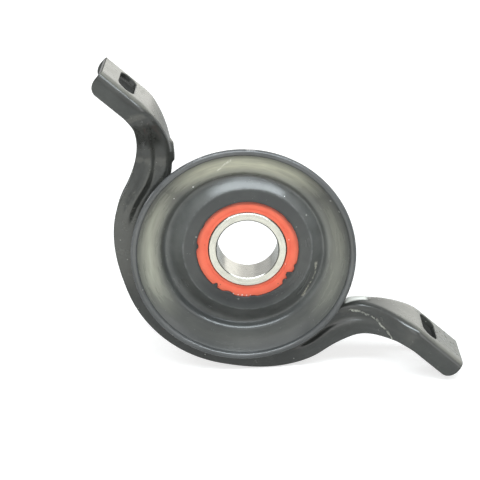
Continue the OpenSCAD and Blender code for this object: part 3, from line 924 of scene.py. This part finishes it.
def seal_lip_shadow(shader):
    """Painted shadow along the seal's outer edge, most of it under the lip at the top of the front view."""
    edge = shader.ramp(shader.radius(), 22.6*MM, 24.4*MM)
    return shader.math("MULTIPLY", edge, shader.ramp(along(shader, PHOTO_UP), -5*MM, 22*MM, 0.12, 0.75))


def steel_material(name, colour, roughness, line_scale, darkening=None):
    """Ground steel: fine lines that run round the axis, with a little haze."""
    shader = Shader(name, colour, roughness, metallic=1.0)
    spread = (line_scale, line_scale, 3)
    lines = shader.noise(1, 3, 0.6, shader.stretch(shader.polar(), spread))
    haze = shader.noise(300, 4)
    stain = shader.noise(90, 5, 0.6)
    base = shader.mix(shader.ramp(lines, 0.35, 0.65), [c*0.82 for c in colour], colour)
    base = shader.mix(shader.ramp(stain, 0.6, 0.8, 0, 0.35), base, [c*0.55 for c in colour])
    if darkening is not None:
        base = shader.mix(darkening(shader), base, (0.06, 0.06, 0.05))
    rough = shader.math("ADD", shader.ramp(haze, 0.3, 0.7, roughness*0.75, roughness*1.3),
                        shader.ramp(lines, 0.3, 0.7, 0, 0.08))
    normal = shader.bump(lines, 0.00002, 0.5)
    return shader.set(Base_Color=base, Roughness=rough, Normal=normal)


# Pale flecks on the seal's lower edge
SEAL_FLECKS = ((-7.0, -23.4, 0.6), (-4.6, -24.0, 0.5), (-2.6, -24.1, 0.7), (-0.4, -24.3, 0.5),
               (1.4, -24.2, 0.4))


def seal_material():
    """Coral-red moulded rubber with faint turning marks and stray pale specks, and painted shadow under the
    lip.
    """
    colour = (0.87, 0.165, 0.09)
    shader = Shader("seal_rubber", colour, 0.55)
    cloud = shader.noise(120, 4)
    rings = shader.noise(1, 3, 0.5, shader.stretch(shader.polar(), (900, 900, 4)))
    grain = shader.noise(2200, 2)
    pale = specks(shader, 420, 0.22, 0.07)
    dark = specks(shader, 520, 0.2, 0.06)
    base = shader.mix(shader.ramp(cloud, 0.35, 0.7), colour, (0.8, 0.135, 0.075))
    base = shader.mix(shader.math("MULTIPLY", pale, 0.7), base, (0.95, 0.6, 0.5))
    base = shader.mix(shader.math("MULTIPLY", dark, 0.7), base, (0.1, 0.03, 0.025))
    # Painted shadow under the lip
    base = shader.mix(seal_lip_shadow(shader), base, (0.3, 0.07, 0.05))
    for right, up, size in SEAL_FLECKS:
        base = shader.mix(dot(shader, right, up, size), base, (0.95, 0.9, 0.86))
    rough = shader.ramp(cloud, 0.3, 0.7, 0.48, 0.62)
    normal = shader.bump(grain, 0.00003, 0.4)
    normal = shader.bump(rings, 0.00003, 0.5, normal)
    return shader.set(Base_Color=base, Roughness=rough, Normal=normal)


# Pale marks on the bracket: the ridge's scraped line, a painted highlight on the pip, and web dust with
# painted sheen
coat = coat_material("bracket_coat", (0.042, 0.043, 0.039), None,
                     ((ridge_wear, (0.45, 0.445, 0.38)), (pip_highlight, (0.88, 0.87, 0.81)),
                      (web_dust_and_sheen, (0.42, 0.41, 0.345))))
ring_coat = coat_material("ring_coat", (0.085, 0.087, 0.087), bead_wear)
rubber = rubber_material()
bearing_steel = steel_material("bearing_steel", (0.6, 0.595, 0.545), 0.2, 1400, bore_darkening)
ball_steel = steel_material("ball_steel", (0.8, 0.8, 0.81), 0.08, 300)
cage_steel = steel_material("cage_steel", (0.52, 0.51, 0.49), 0.35, 700)
core_steel = steel_material("core_steel", (0.4, 0.4, 0.41), 0.38, 900)
seal_rubber = seal_material()

finishes = {
    "bracket_coat": coat, "ring_coat": ring_coat, "cushion_rubber": rubber, "bearing_steel": bearing_steel,
    "ball_steel": ball_steel, "cage_steel": cage_steel, "core_steel": core_steel, "seal_rubber": seal_rubber,
}
for part in frame["record"]["subparts"]:
    mesh = nodes[part["node"]].data
    mesh.materials.clear()
    mesh.materials.append(finishes[part["material_slot"]])
for piece, finish in ((bracket, coat), (cushion, rubber)):
    piece.data.materials.clear()
    piece.data.materials.append(finish)

# Floor: the plane that the cradle's flange and the right foot lie on in the photograph
FLOOR_DROP = 64.4*MM
FLOOR_TILT = math.radians(2.1)
FLOOR_SIZE = 6.0
FLOOR_SEEN = 0.7
FLOOR_NEAR = 0.25
FLOOR_FAR = 0.7
FLOOR_MIRRORED = 0.2
floor_up = PHOTO_UP*math.cos(FLOOR_TILT) - PHOTO_RIGHT*math.sin(FLOOR_TILT)
floor_right = PHOTO_AWAY.cross(floor_up)
floor_mesh = bpy.data.meshes.new("floor")
corners = [floor_right*x*FLOOR_SIZE + PHOTO_AWAY*y*FLOOR_SIZE - floor_up*FLOOR_DROP
           for x, y in ((-1, -1), (1, -1), (1, 1), (-1, 1))]
floor_mesh.from_pydata(corners, [], [(0, 1, 2, 3)])
floor = bpy.data.objects.new("floor", floor_mesh)
scene.collection.objects.link(floor)


def floor_material():
    """Pale paper that shows white to the camera apart from shadow, and is not there from below."""
    material = bpy.data.materials.new("floor")
    material.use_nodes = True
    tree = material.node_tree
    tree.nodes.clear()
    out = tree.nodes.new("ShaderNodeOutputMaterial")
    paper = tree.nodes.new("ShaderNodeBsdfDiffuse")
    paper.inputs["Color"].default_value = (0.55, 0.545, 0.53, 1)
    glow = tree.nodes.new("ShaderNodeEmission")
    glow.inputs["Color"].default_value = (1, 1, 1, 1)
    path = tree.nodes.new("ShaderNodeLightPath")
    side = tree.nodes.new("ShaderNodeNewGeometry")
    reach = tree.nodes.new("ShaderNodeVectorMath")
    reach.operation = "LENGTH"
    tree.links.new(side.outputs["Position"], reach.inputs[0])
    seen = tree.nodes.new("ShaderNodeMapRange")
    seen.inputs["From Min"].default_value = FLOOR_NEAR
    seen.inputs["From Max"].default_value = FLOOR_FAR
    seen.inputs["To Min"].default_value = FLOOR_SEEN
    seen.inputs["To Max"].default_value = 1.0
    tree.links.new(reach.outputs["Value"], seen.inputs["Value"])
    shares = []
    for ray, level in (("Is Camera Ray", FLOOR_SEEN), ("Is Glossy Ray", FLOOR_MIRRORED)):
        share = tree.nodes.new("ShaderNodeMath")
        share.operation = "MULTIPLY"
        share.inputs[1].default_value = level
        tree.links.new(path.outputs[ray], share.inputs[0])
        shares.append(share.outputs[0])
    tree.links.new(seen.outputs["Result"], shares[0].node.inputs[1])
    most = tree.nodes.new("ShaderNodeMath")
    most.operation = "MAXIMUM"
    tree.links.new(shares[0], most.inputs[0])
    tree.links.new(shares[1], most.inputs[1])
    tree.links.new(most.outputs[0], glow.inputs["Strength"])
    both = tree.nodes.new("ShaderNodeAddShader")
    tree.links.new(paper.outputs[0], both.inputs[0])
    tree.links.new(glow.outputs[0], both.inputs[1])
    clear = tree.nodes.new("ShaderNodeBsdfTransparent")
    pick = tree.nodes.new("ShaderNodeMixShader")
    tree.links.new(side.outputs["Backfacing"], pick.inputs[0])
    tree.links.new(both.outputs[0], pick.inputs[1])
    tree.links.new(clear.outputs[0], pick.inputs[2])
    tree.links.new(pick.outputs[0], out.inputs["Surface"])
    return material


floor_mesh.materials.append(floor_material())

# World: white where it is seen or mirrored, a plain grey fill where it lights
WORLD_FILL = 0.25
WORLD_MIRRORED = 0.85
world = bpy.data.worlds.new("studio")
scene.world = world
world.use_nodes = True
world_tree = world.node_tree
backdrop = world_tree.nodes["Background"]
backdrop.inputs["Color"].default_value = (1, 1, 1, 1)
world_path = world_tree.nodes.new("ShaderNodeLightPath")
seen_white = world_tree.nodes.new("ShaderNodeMath")
seen_white.operation = "MAXIMUM"
world_tree.links.new(world_path.outputs["Is Camera Ray"], seen_white.inputs[0])
world_tree.links.new(world_path.outputs["Is Transmission Ray"], seen_white.inputs[1])
mirrored = world_tree.nodes.new("ShaderNodeMapRange")
mirrored.inputs["To Min"].default_value = WORLD_FILL
mirrored.inputs["To Max"].default_value = WORLD_MIRRORED
world_tree.links.new(world_path.outputs["Is Glossy Ray"], mirrored.inputs["Value"])
level = world_tree.nodes.new("ShaderNodeMath")
level.operation = "MAXIMUM"
world_tree.links.new(seen_white.outputs[0], level.inputs[0])
world_tree.links.new(mirrored.outputs["Result"], level.inputs[1])
world_tree.links.new(level.outputs[0], backdrop.inputs["Strength"])


def softbox(name, place, size, power, colour=(1, 1, 1), aim=Vector((0, 0, 0))):
    """A rectangular area lamp that faces a place, its width along the photograph's right."""
    data = bpy.data.lights.new(name, "AREA")
    data.shape = "RECTANGLE"
    data.size, data.size_y = size
    data.energy = power
    data.color = colour
    lamp = bpy.data.objects.new(name, data)
    back = (place - aim).normalized()
    side = (PHOTO_RIGHT - back*PHOTO_RIGHT.dot(back)).normalized()
    turn = Matrix((side, back.cross(side), back)).transposed().to_4x4()
    lamp.matrix_world = Matrix.Translation(place) @ turn
    lamp.visible_camera = False
    scene.collection.objects.link(lamp)
    return lamp


LAMP_POWER = {
    "strip": 21.0,
    "front": 5.0,
    "front_right": 3.0,
    "behind": 6.0,
    "reflector": 0.1,
}
COOL = (0.86, 0.95, 1.0)
WARM = (1.0, 0.98, 0.91)
CREAM = (1.0, 0.97, 0.84)
softbox("strip", photo_point(0, -0.58, 1.05), (2.0, 0.3), LAMP_POWER["strip"], COOL)
softbox("front", photo_point(-0.5, -1.6, 0.9), (1.4, 1.2), LAMP_POWER["front"])
softbox("front_right", photo_point(1.3, -1.1, 0.7), (0.8, 0.9), LAMP_POWER["front_right"])
softbox("behind", photo_point(0.7, 1.8, 0.3), (2.2, 0.8), LAMP_POWER["behind"], WARM)
softbox("reflector", photo_point(-0.05, -0.16, -0.055), (0.3, 0.14), LAMP_POWER["reflector"], CREAM,
        photo_point(-0.05, -0.16, 1.0))

scene.view_settings.view_transform = "Standard"
